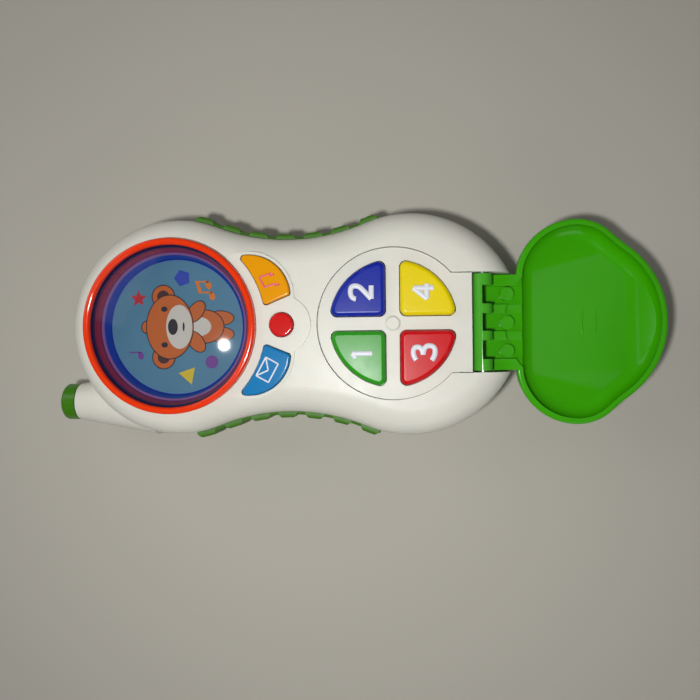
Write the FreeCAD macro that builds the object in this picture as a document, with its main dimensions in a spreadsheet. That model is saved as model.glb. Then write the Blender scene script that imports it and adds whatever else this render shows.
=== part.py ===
import FreeCAD, Part
import math
import os
import Sketcher
from FreeCAD import Placement, Rotation, Vector

# Toy mobile phone lying on its back, flip lid open flat.
# +X runs from the picture window to the lid, +Y to the music button, +Z out of the keypad.
# The origin is under the middle of the whole toy, on the surface that it lies on.

SIZES = {
    # case: two round lobes joined by a hollow-sided waist
    "head_x": -56.4, "head_radius": 36.1, "tail_radius": 36.4, "lobe_gap": 77.6, "waist_radius": 67.0,
    "face_z": 33.0, "parting_z": 16.5, "wall": 2.0, "round_face": 9.0, "round_back": 8.0,
    "round_face_inside": 7.0, "round_back_inside": 6.0, "seam": 0.35,
    # how far an outline stands outside the case
    "flush": 0.0, "hollow_step": -2.0, "flange_step": -2.15, "flange_back_step": -3.3,
    "skin_gap_step": 0.08, "lip_room_step": -2.5, "grip_step": 1.2, "rib_step": 2.2, "fit_gap": 0.1,
    # grips
    "grip_x": -19.8, "grip_half": 31.0, "grip_low": 8.6, "grip_high": 24.0, "grip_round": 1.3,
    "rib_pitch": 9.3, "rib_radius": 3.4, "rib_sink": 0.6, "plug_half": 20.0, "plug_low": 12.5,
    "plug_high": 20.5, "lip_out": 2.0,
    # antenna
    "antenna_y": -25.6, "antenna_end_x": -94.6, "antenna_root_x": -66.0, "antenna_radius": 6.3,
    "antenna_root_radius": 11.5, "antenna_tip_x": -101.1, "antenna_plug_radius": 5.5, "antenna_lip_x": -74.5,
    "tip_collar": 4.0, "tip_gap": 0.3, "peg_radius": 3.0, "peg_length": 4.5,
    # picture window
    "ring_x": -56.6, "ring_outer": 28.6, "ring_inner": 26.4, "ring_top": 36.2, "seat_radius": 27.7,
    "flange_radius": 27.6, "window_hole": 27.0, "seat_z": 33.05, "cup_lip_z": 33.6, "lens_low": 33.65,
    "lens_edge_z": 34.5, "lens_radius": 26.1, "lens_thick": 1.2, "lens_crown": 37.6, "cup_top_radius": 26.0,
    "cup_step_radius": 24.5, "cup_step_z": 30.0, "cup_floor_radius": 22.7, "cup_floor_z": 26.1,
    "cup_base_z": 25.1, "cup_base_radius": 23.6, "cup_mid_radius": 25.4, "cup_neck_radius": 26.9,
    "cup_ledge_radius": 24.0, "flush_round": 0.9,
    "card_radius": 22.5, "card_low": 26.15, "card_high": 26.5,
    # function buttons
    "arc_x": -30.4, "arc_y": 9.0, "arc_radius": 13.6, "inner_arc_radius": 31.9, "edge_x": 54.4,
    "edge_y": -177.3, "edge_radius": 200.0, "island_margin": 1.2, "island_rise": 0.7, "bulge_radius": 9.4,
    "call_x": -19.7, "call_radius": 3.88, "button_play": 0.25, "button_lip": 0.8, "button_high": 34.8,
    "button_low": 28.9, "lip_high": 30.8, "stem_low": 26.6, "stem_radius": 2.0, "button_corner": 1.2,
    "button_edge": 0.6, "button_stem_x": -22.5, "button_stem_y": 12.5,
    # keypad
    "keypad_x": 16.05, "plate_radius": 24.25, "plate_lip": 26.3, "plate_hole": 24.5, "plate_top": 32.2,
    "plate_low": 29.0, "plate_lip_z": 30.9, "neck_half": 15.75, "neck_end": 41.1, "neck_low": 30.0,
    "key_radius": 20.3, "key_inset": 2.35, "key_grow": 0.0, "hole_grow": 0.25, "key_lip_grow": 0.9,
    "key_high": 34.2, "key_lip_high": 28.8, "key_low": 27.4, "key_corner": 2.2, "key_crown": 1.4,
    "centre_boss": 2.5,
    # hinge and lid
    "hinge_x": 44.6, "hinge_z": 30.2, "pin_radius": 1.2, "bore_radius": 1.26, "barrel_radius": 3.0,
    "tongue_half": 15.35, "slot_half": 15.9, "slot_wall": 17.9, "slot_start": 41.5, "slot_floor": 18.5,
    "rim_z": 27.1, "bowl_low": 19.7, "lid_wall": 1.9, "lobe_x": 74.8, "lobe_y": 13.6, "lobe_radius": 19.3,
    "shoulder_radius": 15.4, "blend_radius": 45.0, "lid_corner": 5.0, "dish_step": -1.9, "nose_x": 73.0,
    "nose_radius": 29.9, "lid_start": 55.7, "lid_round": 5.5, "dish_round": 4.3, "rim_round": 0.85,
    "ramp_x": 86.5, "ramp_start": 91.6, "ramp_radius": 45.0, "ramp_sink": 0.29,
    "ear_gap": 0.8, "tongue_low": 23.4, "pocket_floor": 24.6, "key_relief_z": 25.5, "key_relief": 1.0,
    "rib_y": 4.3, "rib_half": 1.5,
    "strip_half": 11.7, "post_y": 9.2, "post_radius": 2.2, "post_x": 52.7, "post_z": 26.6,
    "tongue_back": 2.4, "pocket_back": 0.4, "pin_start": 12.2,
    # boards, pads and works
    "pad_low": 23.6, "pad_high": 24.6, "key_dome_z": 25.9, "button_dome_z": 25.2, "board_low": 22.0,
    "board_high": 23.5, "board_half": 17.0, "board_end": 38.8,
    "cell_radius": 5.25, "cell_y": 5.6, "cell_z": 7.9, "cell_start": -6.8, "cell_end": 37.7,
    "bay_start": -9.5, "bay_end": 40.0, "bay_half": 12.2, "bay_roof": 13.7, "bay_wall": 1.4,
    "door_start": -20.0, "door_end": 43.3, "door_half": 15.3, "door_high": 1.9, "door_gap": 0.2,
    "door_screw_x": -16.0, "speaker_radius": 14.0, "grille_hole": 0.9, "grille_pitch": 3.6,
    "switch_x": -33.0, "knob_x": -34.9, "door_corner": 3.0, "ledge_width": 2.0,
    "door_boss": 3.2, "door_boss_top": 12.0, "door_pilot_top": 11.0, "door_head_z": 1.1, "ledge_high": 1.5,
    "speaker_high": 6.0, "collar_high": 4.0, "collar_gap": 0.2, "collar_wall": 1.4,
    "recess_half_x": 7.0, "recess_half_y": 4.0, "recess_deep": 1.0, "throw_half_x": 4.4, "throw_half_y": 1.6,
    "knob_half_x": 1.5, "knob_half_y": 3.0, "knob_low": 0.15, "knob_high": 0.85, "stalk_half_y": 1.2,
    "stalk_high": 3.4, "switch_half_x": 6.0, "switch_half_y": 3.5, "switch_low": 3.8, "switch_high": 8.0,
    "plate_half": 4.5, "plate_gap": 0.1,
    "head_board_x": 12.0, "head_board_y": 9.0, "head_board_low": 18.5, "head_board_high": 20.0,
    "led_x": 7.0, "led_radius": 2.5, "led_high": 24.2, "chip_radius": 6.0, "chip_high": 1.6,
    "board_hole": 1.2, "board_shank": 1.1, "board_head": 2.0, "board_head_high": 1.2, "shank_deep": 5.0,
    "pad_radius": 17.5, "pad_hole": 2.6, "dome_wide": 4.0, "dome_narrow": 2.6, "bump_wide": 3.0,
    "bump_narrow": 2.2, "strip_back": 8.5, "strip_front": 4.5, "strip_side": 16.0,
    "screw_head": 2.6, "screw_shank": 1.0, "boss_radius": 3.4, "head_seat": 10.0, "head_low": 8.3,
}

SCREW_PLACES = ((-82.0, 14.0), (-80.0, -12.0), (31.5, 25.5), (31.5, -25.5))
BOARD_SCREW_PLACES = ((-11.0, 14.0), (-11.0, -14.0), (35.0, 0.0))

doc = FreeCAD.newDocument("toy_phone")
sheet = doc.addObject("Spreadsheet::Sheet", "Dims")
for line, (alias, number) in enumerate(SIZES.items(), start=1):
    sheet.set(f"A{line}", alias)
    sheet.set(f"B{line}", str(number))
    sheet.setAlias(f"B{line}", alias)
doc.recompute()

PARTS = []


# ---- helpers ----

def size(alias):
    return float(sheet.get(alias))


def dims(text):
    """Write an expression with each size's name pointing at the sheet."""
    words = text.replace("(", " ( ").replace(")", " ) ").split()
    return " ".join("Dims." + word if word in SIZES else word for word in words)


def bind(thing, **formulas):
    for name, formula in formulas.items():
        thing.setExpression(name, dims(formula))


def put(thing, x="0", y="0", z="0"):
    for axis, formula in zip("xyz", (x, y, z)):
        thing.setExpression(f"Placement.Base.{axis}", dims(formula))
    return thing


def disc(x, y, radius, low, high):
    """Upright cylinder between two heights."""
    thing = doc.addObject("Part::Cylinder", "disc")
    bind(thing, Radius=radius, Height=f"( {high} ) - ( {low} )")
    return put(thing, x, y, low)


def cone(x, y, low_radius, high_radius, low, high):
    thing = doc.addObject("Part::Cone", "cone")
    bind(thing, Radius1=low_radius, Radius2=high_radius, Height=f"( {high} ) - ( {low} )")
    return put(thing, x, y, low)


def rod_x(start, end, y, z, radius):
    """Cylinder lying along X."""
    thing = doc.addObject("Part::Cylinder", "rod")
    thing.Placement = Placement(Vector(), Rotation(Vector(0, 1, 0), 90))
    bind(thing, Radius=radius, Height=f"( {end} ) - ( {start} )")
    return put(thing, start, y, z)


def rod_y(half, x, z, radius):
    """Cylinder lying along Y, centred on the XZ plane."""
    thing = doc.addObject("Part::Cylinder", "rod")
    thing.Placement = Placement(Vector(), Rotation(Vector(1, 0, 0), -90))
    bind(thing, Radius=radius, Height=f"2 * ( {half} )")
    return put(thing, x, f"0 - ( {half} )", z)


def stub_y(start, end, x, z, radius):
    """Cylinder lying along Y between two places on the +Y side."""
    thing = doc.addObject("Part::Cylinder", "rod")
    thing.Placement = Placement(Vector(), Rotation(Vector(1, 0, 0), -90))
    bind(thing, Radius=radius, Height=f"( {end} ) - ( {start} )")
    return put(thing, x, start, z)


def block(x0, x1, y0, y1, z0, z1):
    thing = doc.addObject("Part::Box", "block")
    bind(thing, Length=f"( {x1} ) - ( {x0} )", Width=f"( {y1} ) - ( {y0} )", Height=f"( {z1} ) - ( {z0} )")
    return put(thing, x0, y0, z0)


def fuse(*things):
    joined = doc.addObject("Part::MultiFuse", "fuse")
    joined.Shapes = list(things)
    joined.Refine = True
    return joined


def cut(base, *tools):
    result = doc.addObject("Part::Cut", "cut")
    result.Base = base
    result.Tool = fuse(*tools) if len(tools) > 1 else tools[0]
    return result


def common(first, second):
    result = doc.addObject("Part::Common", "common")
    result.Base = first
    result.Tool = second
    return result


def mirrored(source):
    """The same shape on the other side of the XZ plane."""
    twin = doc.addObject("Part::Mirroring", "mirrored")
    twin.Source = source
    twin.Normal = Vector(0, 1, 0)
    return twin


def upright(edge):
    ends = [vertex.Point for vertex in edge.Vertexes]
    return len(ends) == 2 and (ends[0] - ends[1]).Length > 0.5 and Vector(*ends[0][:2]).isEqual(
        Vector(*ends[1][:2]), 1e-4)


def level(height):
    """Picks the edges that lie at one height."""
    return lambda edge: abs(edge.BoundBox.ZMin - height) < 1e-4 and abs(edge.BoundBox.ZMax - height) < 1e-4


def rounded(base, radius, pick):
    doc.recompute()
    result = doc.addObject("Part::Fillet", "rounded")
    result.Base = base
    chosen = [number for number, edge in enumerate(base.Shape.Edges, start=1) if pick(edge)]
    result.Edges = [(number, size(radius), size(radius)) for number in chosen]
    return result


def keep(thing, label):
    thing.Label = label
    PARTS.append(thing)
    return thing


# ---- bodies drawn with sketches ----

def sketch_in(body, low, x="0"):
    sketch = body.newObject("Sketcher::SketchObject", body.Name + "_outline")
    plane = next(item for item in body.Origin.OriginFeatures if item.Role == "XY_Plane")
    sketch.AttachmentSupport = [(plane, "")]
    sketch.MapMode = "FlatFace"
    sketch.setExpression("AttachmentOffset.Base.x", dims(x))
    sketch.setExpression("AttachmentOffset.Base.z", dims(low))
    return sketch


def constrain(sketch, name, formula, *definition):
    """Add a dimension, give it a name and bind it to the sheet."""
    number = sketch.addConstraint(Sketcher.Constraint(*definition))
    sketch.renameConstraint(number, name)
    sketch.setExpression(f"Constraints.{name}", dims(formula))


def body_fillet(body, base, radius, pick):
    doc.recompute()
    fillet = body.newObject("PartDesign::Fillet", body.Name + "_round")
    chosen = [f"Edge{number}" for number, edge in enumerate(base.Shape.Edges, start=1) if pick(edge)]
    fillet.Base = (base, chosen)
    bind(fillet, Radius=radius)
    return fillet


def peanut(name, step, low, high, round_top=None, round_bottom=None):
    """The case's outline, moved outwards by a step, as an upright solid."""
    body = doc.addObject("PartDesign::Body", name)
    sketch = sketch_in(body, low, "head_x")
    head, tail = size("head_radius") + size(step), size("tail_radius") + size(step)
    waist, gap = size("waist_radius") - size(step), size("lobe_gap")
    waist_x = ((head + waist) ** 2 - (tail + waist) ** 2 + gap ** 2) / (2 * gap)
    waist_y = math.sqrt((head + waist) ** 2 - waist_x ** 2)
    lean_head, lean_tail = math.atan2(waist_y, waist_x), math.atan2(waist_y, waist_x - gap)
    up = Vector(0, 0, 1)
    for x, y, radius, start, end in (
            (0, 0, head, lean_head, 2 * math.pi - lean_head),
            (gap, 0, tail, -lean_tail, lean_tail),
            (waist_x, waist_y, waist, lean_head + math.pi, lean_tail + math.pi),
            (waist_x, -waist_y, waist, -lean_tail - math.pi, -lean_head - math.pi)):
        sketch.addGeometry(Part.ArcOfCircle(Part.Circle(Vector(x, y, 0), up, radius), start, end))
    for one, one_end, other, other_end in ((0, 1, 2, 1), (2, 2, 1, 2), (1, 1, 3, 1), (3, 2, 0, 2)):
        sketch.addConstraint(Sketcher.Constraint("Tangent", one, one_end, other, other_end))
    sketch.addConstraint(Sketcher.Constraint("Coincident", 0, 3, -1, 1))
    sketch.addConstraint(Sketcher.Constraint("PointOnObject", 1, 3, -1))
    constrain(sketch, "gap", "lobe_gap", "DistanceX", 0, 3, 1, 3, gap)
    constrain(sketch, "head", f"head_radius + {step}", "Radius", 0, head)
    constrain(sketch, "tail", f"tail_radius + {step}", "Radius", 1, tail)
    constrain(sketch, "left", f"waist_radius - {step}", "Radius", 2, waist)
    constrain(sketch, "right", f"waist_radius - {step}", "Radius", 3, waist)
    pad = body.newObject("PartDesign::Pad", name + "_pad")
    pad.Profile = sketch
    bind(pad, Length=f"( {high} ) - ( {low} )")
    doc.recompute()
    last = pad
    if round_top:
        last = body_fillet(body, last, round_top, level(pad.Shape.BoundBox.ZMax))
    if round_bottom:
        last = body_fillet(body, last, round_bottom, level(pad.Shape.BoundBox.ZMin))
    return body


def quarter(name, grow, low, high, turn, crown=None):
    """Quarter of a disc round the keypad's centre, with rounded corners."""
    body = doc.addObject("PartDesign::Body", name)
    sketch = sketch_in(body, low, "keypad_x")
    sketch.AttachmentOffset = Placement(Vector(), Rotation(Vector(0, 0, 1), turn))
    inset, radius = size("key_inset") - size(grow), size("key_radius") + size(grow)
    reach = math.sqrt(radius ** 2 - inset ** 2)
    corner, along, across = Vector(inset, inset, 0), Vector(reach, inset, 0), Vector(inset, reach, 0)
    sketch.addGeometry(Part.LineSegment(corner, along))
    arc = Part.ArcOfCircle(Part.Circle(Vector(), Vector(0, 0, 1), radius),
                           math.atan2(inset, reach), math.atan2(reach, inset))
    sketch.addGeometry(arc)
    sketch.addGeometry(Part.LineSegment(across, corner))
    for one, one_end, other, other_end in ((0, 2, 1, 1), (1, 2, 2, 1), (2, 2, 0, 1), (1, 3, -1, 1)):
        sketch.addConstraint(Sketcher.Constraint("Coincident", one, one_end, other, other_end))
    sketch.addConstraint(Sketcher.Constraint("Horizontal", 0))
    sketch.addConstraint(Sketcher.Constraint("Vertical", 2))
    constrain(sketch, "radius", f"key_radius + {grow}", "Radius", 1, radius)
    constrain(sketch, "inset_x", f"key_inset - {grow}", "DistanceX", -1, 1, 0, 1, inset)
    constrain(sketch, "inset_y", f"key_inset - {grow}", "DistanceY", -1, 1, 0, 1, inset)
    pad = body.newObject("PartDesign::Pad", name + "_pad")
    pad.Profile = sketch
    bind(pad, Length=f"( {high} ) - ( {low} )")
    last = body_fillet(body, pad, "key_corner", upright)
    if crown:
        doc.recompute()
        body_fillet(body, last, crown, level(last.Shape.BoundBox.ZMax))
    return body


def turned(name, x, profile):
    """Solid of revolution about an upright axis, from (radius, height) pairs of cell names."""
    body = doc.addObject("PartDesign::Body", name)
    sketch = body.newObject("Sketcher::SketchObject", name + "_profile")
    plane = next(item for item in body.Origin.OriginFeatures if item.Role == "XZ_Plane")
    sketch.AttachmentSupport = [(plane, "")]
    sketch.MapMode = "FlatFace"
    sketch.setExpression("AttachmentOffset.Base.x", dims(x))
    points = [Vector(size(radius) if radius else 0, size(height), 0) for radius, height in profile]
    count = len(points)
    for number in range(count):
        sketch.addGeometry(Part.LineSegment(points[number], points[(number + 1) % count]))
    for number, (radius, height) in enumerate(profile):
        sketch.addConstraint(Sketcher.Constraint("Coincident", number - 1 if number else count - 1, 2, number, 1))
        if radius:
            constrain(sketch, f"r{number}", radius, "DistanceX", -1, 1, number, 1, points[number].x)
        else:
            sketch.addConstraint(Sketcher.Constraint("PointOnObject", number, 1, -2))
        constrain(sketch, f"z{number}", height, "DistanceY", -1, 1, number, 1, points[number].y)
    spin = body.newObject("PartDesign::Revolution", name + "_spin")
    spin.Profile = sketch
    spin.ReferenceAxis = (sketch, ["V_Axis"])
    spin.Angle = 360
    doc.recompute()
    return body


# ---- case ----

def outline_point(x):
    """Point on the +Y side of the case's outline at x, and the outward direction there."""
    head, tail, waist, gap = (size(name) for name in ("head_radius", "tail_radius", "waist_radius", "lobe_gap"))
    waist_x = ((head + waist) ** 2 - (tail + waist) ** 2 + gap ** 2) / (2 * gap)
    waist_y = math.sqrt((head + waist) ** 2 - waist_x ** 2)
    along = x - size("head_x")
    head_end = head * waist_x / (head + waist)
    tail_start = gap + tail * (waist_x - gap) / (tail + waist)
    if along < head_end:
        outward = Vector(along, math.sqrt(head ** 2 - along ** 2), 0) / head
        return Vector(x, outward.y * head, 0), outward
    if along > tail_start:
        outward = Vector(along - gap, math.sqrt(tail ** 2 - (along - gap) ** 2), 0) / tail
        return Vector(x, outward.y * tail, 0), outward
    drop = math.sqrt(waist ** 2 - (along - waist_x) ** 2)
    outward = Vector(waist_x - along, drop, 0) / waist
    return Vector(x, waist_y - drop, 0), outward


def wedge(grow, low, high):
    """Outline of the music button: two arcs and an almost straight edge."""
    shape = cut(disc("arc_x", "arc_y", f"arc_radius + {grow}", low, high),
                disc("ring_x", "0", f"inner_arc_radius - {grow}", low, high),
                disc("edge_x", "edge_y", f"edge_radius - {grow}", low, high))
    return rounded(shape, "button_corner", upright)


def grip_windows():
    front = block("grip_x - plug_half - fit_gap", "grip_x + plug_half + fit_gap", "22", "45",
                  "plug_low - fit_gap", "plug_high + fit_gap")
    return [front, mirrored(front)]


def island():
    """Raised pad round the three function buttons."""
    low, high = "face_z - wall", "face_z + island_rise"
    lobe = disc("arc_x", "arc_y", "arc_radius + island_margin", low, high)
    bulge = disc("call_x", "0", "bulge_radius", low, high)
    return cut(fuse(lobe, mirrored(lobe), bulge), disc("ring_x", "0", "ring_outer + fit_gap", low, high))


def hinge_walls(outer):
    walls = block("slot_start - wall", "75", "0 - slot_wall", "slot_wall", "parting_z", "face_z - 1.5")
    return common(walls, outer)


def front_bosses():
    return [disc(str(x), str(y), "boss_radius - 0.4", "parting_z", "face_z - 1") for x, y in SCREW_PLACES]


def front_shell():
    outer = peanut("front_outer", "flush", "parting_z", "face_z", "round_face", "seam")
    hollow = peanut("front_hollow", "hollow_step", "parting_z - 1", "face_z - wall", round_top="round_face_inside")
    bosses = common(fuse(*front_bosses()), outer)
    skin = fuse(cut(outer, hollow), hinge_walls(outer), island(), bosses)
    button_hole = wedge("button_play", "face_z - 5", "face_z + 5")
    pilots = [disc(str(x), str(y), "screw_shank + fit_gap", "parting_z - 1", "face_z - 5") for x, y in SCREW_PLACES]
    shell = cut(
        skin,
        disc("ring_x", "0", "window_hole", "face_z - 8", "face_z + 5"),
        disc("keypad_x", "0", "plate_hole", "plate_lip_z", "face_z + 5"),
        block("keypad_x", "slot_start + 0.1", "0 - neck_half - 0.25", "neck_half + 0.25", "neck_low - fit_gap",
              "face_z + 5"),
        block("slot_start", "80", "0 - slot_half", "slot_half", "slot_floor", "face_z + 5"),
        rod_y("slot_wall - fit_gap * 2", "hinge_x", "hinge_z", "pin_radius"),
        button_hole, mirrored(button_hole),
        disc("call_x", "0", "call_radius + button_play", "face_z - 5", "face_z + 5"),
        rod_x("antenna_end_x", "antenna_lip_x", "antenna_y", "parting_z", "antenna_plug_radius + fit_gap"),
        *grip_windows(), *pilots)
    return keep(shell, "front_shell")


def rear_shell():
    outer = peanut("rear_outer", "flush", "0", "parting_z", round_bottom="round_back")
    hollow = peanut("rear_hollow", "hollow_step", "wall", "parting_z + 1", round_bottom="round_back_inside")
    bay = block("bay_start - bay_wall", "bay_end + bay_wall", "0 - bay_half - bay_wall", "bay_half + bay_wall",
                "1", "bay_roof + bay_wall")
    collar = cut(disc("head_x", "0", "speaker_radius + collar_gap + collar_wall", "1", "wall + collar_high"),
                 disc("head_x", "0", "speaker_radius + collar_gap", "wall", "wall + collar_high + 1"))
    bosses = common(fuse(*(disc(str(x), str(y), "boss_radius", "1", "parting_z") for x, y in SCREW_PLACES)), outer)
    door_boss = disc("door_screw_x", "0", "door_boss", "1", "door_boss_top")
    ledge = common(block("door_start - ledge_width", "door_end + ledge_width", "0 - door_half - ledge_width",
                         "door_half + ledge_width", "1", "door_high + ledge_high"), outer)
    skin = fuse(cut(outer, hollow), ledge, bay, collar, bosses, door_boss)
    screw_holes = []
    for x, y in SCREW_PLACES:
        screw_holes.append(disc(str(x), str(y), "screw_head + door_gap", "0 - 1", "head_seat"))
        screw_holes.append(disc(str(x), str(y), "screw_shank + 2 * door_gap", "head_seat - 1", "parting_z + 1"))
    grille = [disc("head_x", "0", "grille_hole", "0 - 1", "wall + 1")]
    for ring in (1, 2):
        for step in range(6 * ring):
            turn = 2 * math.pi * step / (6 * ring)
            reach = size("grille_pitch") * ring
            across, along = reach * math.cos(turn), reach * math.sin(turn)
            grille.append(disc(f"head_x + {across:.4f}", f"{along:.4f}", "grille_hole", "0 - 1", "wall + 1"))
    shell = cut(
        skin,
        block("bay_start", "bay_end", "0 - bay_half", "bay_half", "0 - 1", "bay_roof"),
        block("door_start - door_gap", "door_end + door_gap", "0 - door_half - door_gap", "door_half + door_gap",
              "0 - 1", "door_high + 0.1"),
        disc("door_screw_x", "0", "screw_shank + fit_gap", "0 - 1", "door_pilot_top"),
        block("switch_x - recess_half_x", "switch_x + recess_half_x", "0 - recess_half_y", "recess_half_y",
              "0 - 1", "recess_deep"),
        block("switch_x - throw_half_x", "switch_x + throw_half_x", "0 - throw_half_y", "throw_half_y",
              "0 - 1", "wall + 1"),
        rod_x("antenna_end_x", "antenna_lip_x", "antenna_y", "parting_z", "antenna_plug_radius + fit_gap"),
        *grip_windows(), *screw_holes, *grille)
    return keep(shell, "rear_shell")


def grips():
    """Ribbed skin, a plug through the case wall and a flange held behind it."""
    near = "skin_gap_step"
    pillow = peanut("grip_pillow", "rib_step", "grip_low", "grip_high", "grip_round", "grip_round")
    border = peanut("grip_border", "grip_step", "grip_low", "grip_high", "grip_round", "grip_round")
    case = peanut("grip_case", near, "0", "face_z")
    behind = peanut("grip_behind", "flange_step", "0", "face_z")
    inside = peanut("grip_inside", "flange_back_step", "0", "face_z")
    ribs = []
    for number in range(-3, 4):
        point, outward = outline_point(size("grip_x") + number * size("rib_pitch"))
        centre = point - outward * size("rib_sink")
        ribs.append(disc(f"{centre.x:.4f}", f"{centre.y:.4f}", "rib_radius", "grip_low", "grip_high"))
    stretch = block("grip_x - grip_half", "grip_x + grip_half", "15", "45", "0", "face_z")
    outside = common(cut(fuse(border, common(fuse(*ribs), pillow)), case), stretch)
    plug_block = block("grip_x - plug_half", "grip_x + plug_half", "15", "45", "plug_low", "plug_high")
    plug = common(cut(border, inside), plug_block)
    lip_block = block("grip_x - plug_half - lip_out", "grip_x + plug_half + lip_out", "15", "45",
                      "plug_low - lip_out", "plug_high + lip_out")
    lip = common(cut(behind, inside), lip_block)
    left = keep(fuse(outside, plug, lip), "left_grip")
    keep(mirrored(left), "right_grip")


def antenna():
    stub = doc.addObject("Part::Cone", "stub")
    stub.Placement = Placement(Vector(), Rotation(Vector(0, 1, 0), 90))
    bind(stub, Radius1="antenna_radius", Radius2="antenna_root_radius", Height="antenna_root_x - antenna_end_x")
    put(stub, "antenna_end_x", "antenna_y", "parting_z")
    outside = cut(stub, peanut("antenna_case", "skin_gap_step", "0 - 5", "face_z + 5"))
    plug = rod_x("antenna_end_x + 6", "antenna_lip_x - 0.5", "antenna_y", "parting_z", "antenna_plug_radius")
    lip = common(rod_x("antenna_lip_x - 3", "antenna_lip_x - 0.5", "antenna_y", "parting_z",
                       "antenna_plug_radius + 1.5"),
                 peanut("antenna_inside", "flange_step", "0", "face_z"))
    socket = rod_x("antenna_end_x - 1", "antenna_end_x + 5", "antenna_y", "parting_z",
                   "peg_radius + fit_gap / 2")
    keep(cut(fuse(outside, plug, lip), socket), "antenna_base")
    sleeve = rod_x("antenna_end_x - tip_collar", "antenna_end_x - tip_gap", "antenna_y", "parting_z", "antenna_radius")
    dome = doc.addObject("Part::Ellipsoid", "dome")
    dome.Angle1 = -90
    dome.Placement = Placement(Vector(), Rotation(Vector(0, 1, 0), 90))
    bind(dome, Radius1="antenna_end_x - tip_collar - antenna_tip_x", Radius2="antenna_radius", Radius3="antenna_radius")
    put(dome, "antenna_end_x - tip_collar", "antenna_y", "parting_z")
    peg = rod_x("antenna_end_x - tip_collar / 2", "antenna_end_x + peg_length", "antenna_y", "parting_z",
                "peg_radius")
    keep(fuse(sleeve, dome, peg), "antenna_tip")


# ---- picture window ----

def picture_window():
    ring = turned("ring", "ring_x", (("seat_radius", "seat_z"), ("ring_outer", "seat_z"),
                                     ("ring_outer", "ring_top"), ("ring_inner", "ring_top"),
                                     ("ring_inner", "lens_edge_z"), ("seat_radius", "lens_edge_z")))
    keep(rounded(ring, "flush_round", level(size("ring_top"))), "screen_bezel")
    base = disc("ring_x", "0", "flange_radius", "lens_low", "lens_edge_z - 0.05")
    crown = (size("lens_radius") ** 2 + (size("lens_crown") - size("lens_edge_z")) ** 2) / (
        2 * (size("lens_crown") - size("lens_edge_z")))
    ball = doc.addObject("Part::Sphere", "ball")
    ball.Radius = crown
    put(ball, "ring_x", "0", f"lens_crown - {crown:.4f}")
    dome = common(ball, disc("ring_x", "0", "lens_radius", "lens_low", "lens_crown + 1"))
    under = doc.addObject("Part::Sphere", "under")
    under.Radius = crown - size("lens_thick")
    put(under, "ring_x", "0", f"lens_crown - {crown:.4f}")
    hollow = common(under, disc("ring_x", "0", "lens_radius - 1", "lens_low - 1", "lens_crown"))
    keep(cut(fuse(base, dome), hollow), "screen_lens")
    keep(turned("cup", "ring_x", (
        (None, "cup_base_z"), ("cup_base_radius", "cup_base_z"), ("cup_mid_radius", "cup_step_z"),
        ("cup_neck_radius", "seat_z"), ("flange_radius", "seat_z"), ("flange_radius", "cup_lip_z"),
        ("cup_top_radius", "cup_lip_z"), ("cup_step_radius", "cup_step_z"), ("cup_ledge_radius", "cup_step_z"),
        ("cup_floor_radius", "cup_floor_z"), (None, "cup_floor_z"))), "screen_cup")
    keep(disc("ring_x", "0", "card_radius", "card_low", "card_high"), "picture_card")


# ---- buttons and keys ----

def function_buttons():
    cap = rounded(wedge("flush", "button_low", "button_high"), "button_edge", level(size("button_high")))
    room = peanut("lip_room", "lip_room_step", "board_low", "lip_high", round_top="round_face_inside")
    lip = common(wedge("button_lip", "button_low", "lip_high"), room)
    stem = disc("button_stem_x", "button_stem_y", "stem_radius", "stem_low", "button_low + 1")
    music = keep(fuse(cap, lip, stem), "music_button")
    keep(mirrored(music), "message_button")
    cap = rounded(disc("call_x", "0", "call_radius", "button_low", "button_high"), "button_edge",
                  level(size("button_high")))
    keep(fuse(cap, disc("call_x", "0", "call_radius + button_lip", "button_low", "lip_high"),
              disc("call_x", "0", "stem_radius", "stem_low", "button_low + 1")), "call_button")


def keys():
    """Key 1 is towards the window on the -Y side; the others follow round the cross."""
    for number, turn in ((1, 180), (2, 90), (3, 270), (4, 0)):
        cap = quarter(f"key_{number}_cap", "key_grow", "key_lip_high - 0.5", "key_high", turn, "key_crown")
        lip = quarter(f"key_{number}_lip", "key_lip_grow", "key_low", "key_lip_high", turn)
        keep(fuse(cap, lip), f"key_{number}")


def keypad_plate():
    room = peanut("plate_room", "lip_room_step", "board_low", "plate_lip_z", round_top="round_face_inside")
    face = disc("keypad_x", "0", "plate_radius", "plate_low", "plate_top")
    lip = common(disc("keypad_x", "0", "plate_lip", "plate_low", "plate_lip_z"), room)
    neck = block("keypad_x", "neck_end", "0 - neck_half", "neck_half", "neck_low", "plate_top")
    beyond = block("neck_end", "60", "0 - 30", "30", "plate_low - 1", "face_z")
    clear = block("slot_start - wall - 0.2", "60", "0 - 30", "30", "plate_low - 1", "neck_low")
    boss = cone("keypad_x", "0", "centre_boss", "centre_boss - 0.6", "plate_top", "plate_top + 0.5")
    holes = [quarter(f"hole_{turn}", "hole_grow", "plate_low - 1", "face_z + 1", turn) for turn in (0, 90, 180, 270)]
    keep(cut(fuse(cut(fuse(face, lip), clear, beyond), neck, boss), *holes), "keypad_plate")


# ---- lid ----

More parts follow.
